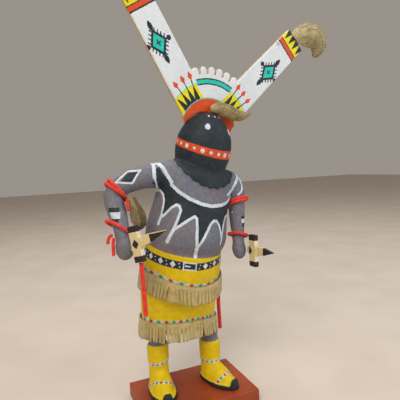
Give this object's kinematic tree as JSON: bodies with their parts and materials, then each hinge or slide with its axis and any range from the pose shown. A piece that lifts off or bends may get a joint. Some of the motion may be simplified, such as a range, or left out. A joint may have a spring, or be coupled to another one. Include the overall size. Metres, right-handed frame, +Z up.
{
  "type": "kachina doll",
  "caption": "Carved and painted wooden dancer figure with a forked board crown, fringed kilt, yarn ties and hand-held wands, standing on a wooden block.",
  "frame": {"origin": "middle of the wooden block's underside", "axes": "+Z up; the block's front edge faces -Y; +X is towards the doll's left hand"},
  "size_m": [0.2631, 0.1073, 0.4104],
  "materials": {
    "block_paint": "orange-red and brown paint, worn, on a wooden block",
    "figure_paint": "flat hand-painted grey, black, white, orange and yellow on carved wood",
    "crown_paint": "flat white paint with coloured patterns on thin wood",
    "wand_paint": "bare cream wood with black and white paint",
    "suede": "soft tan suede, cut into strips",
    "fur_light": "soft pale fur",
    "fur_dark": "soft brown fur and downy feather",
    "red_yarn": "red wool yarn"
  },
  "bodies": {
    "root": {"base_block": "block_paint", "figure": "figure_paint", "crown_board": "crown_paint", "wand_right": "wand_paint", "wand_left": "wand_paint", "fringe_upper": "suede", "fringe_lower": "suede", "fur_slat_right": "fur_light", "fur_slat_left": "fur_light", "fur_head": "fur_light", "fur_elbow": "fur_dark", "tie_elbow_right": "red_yarn", "tie_wrist_right": "red_yarn", "tie_arm_left": "red_yarn", "tie_wrist_left": "red_yarn", "yarn_elbow_right": "red_yarn", "yarn_wrist_right_short": "red_yarn", "yarn_wrist_right_long": "red_yarn", "yarn_wand": "red_yarn", "yarn_hip": "red_yarn"}
  },
  "joints": []
}
